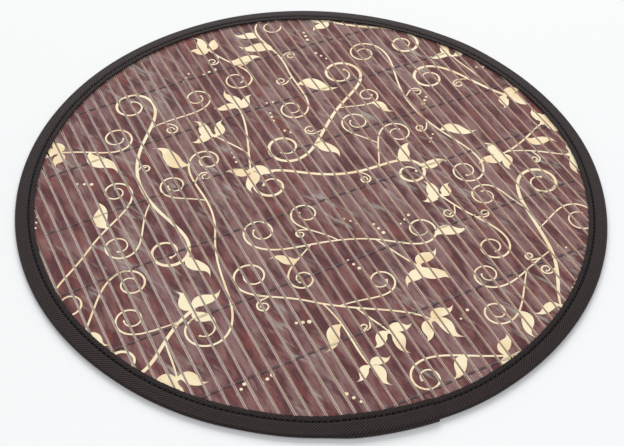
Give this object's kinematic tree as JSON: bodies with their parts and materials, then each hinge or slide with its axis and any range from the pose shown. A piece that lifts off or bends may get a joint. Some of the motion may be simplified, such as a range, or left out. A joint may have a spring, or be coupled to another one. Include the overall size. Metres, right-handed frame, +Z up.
{
  "type": "round bamboo placemat",
  "caption": "Flat round placemat of stained bamboo slats held by rows of twined thread, with a folded dark tape sewn round the rim.",
  "frame": {"origin": "middle of the round mat, on the flat underside of its binding tape", "axes": "+Z up through the mat's thickness, +Y along the bamboo slats, +X along the thread rows"},
  "size_m": [0.3801, 0.3806, 0.0046],
  "materials": {
    "bamboo": "stained dark red-brown with a cream printed vine, semi-gloss",
    "thread": "dark purple-brown twined thread, matt",
    "tape": "dark brown twill tape, matt"
  },
  "bodies": {
    "root": {"slat_01": "bamboo", "slat_02": "bamboo", "slat_03": "bamboo", "slat_04": "bamboo", "slat_05": "bamboo", "slat_06": "bamboo", "slat_07": "bamboo", "slat_08": "bamboo", "slat_09": "bamboo", "slat_10": "bamboo", "slat_11": "bamboo", "slat_12": "bamboo", "slat_13": "bamboo", "slat_14": "bamboo", "slat_15": "bamboo", "slat_16": "bamboo", "slat_17": "bamboo", "slat_18": "bamboo", "slat_19": "bamboo", "slat_20": "bamboo", "slat_21": "bamboo", "slat_22": "bamboo", "slat_23": "bamboo", "slat_24": "bamboo", "slat_25": "bamboo", "slat_26": "bamboo", "slat_27": "bamboo", "slat_28": "bamboo", "slat_29": "bamboo", "slat_30": "bamboo", "slat_31": "bamboo", "slat_32": "bamboo", "slat_33": "bamboo", "slat_34": "bamboo", "slat_35": "bamboo", "slat_36": "bamboo", "slat_37": "bamboo", "slat_38": "bamboo", "slat_39": "bamboo", "slat_40": "bamboo", "slat_41": "bamboo", "slat_42": "bamboo", "slat_43": "bamboo", "slat_44": "bamboo", "slat_45": "bamboo", "slat_46": "bamboo", "slat_47": "bamboo", "slat_48": "bamboo", "slat_49": "bamboo", "slat_50": "bamboo", "slat_51": "bamboo", "thread_row_1": "thread", "thread_row_2": "thread", "thread_row_3": "thread", "thread_row_4": "thread", "thread_row_5": "thread", "thread_row_6": "thread", "thread_row_7": "thread", "binding_tape": "tape"}
  },
  "joints": []
}
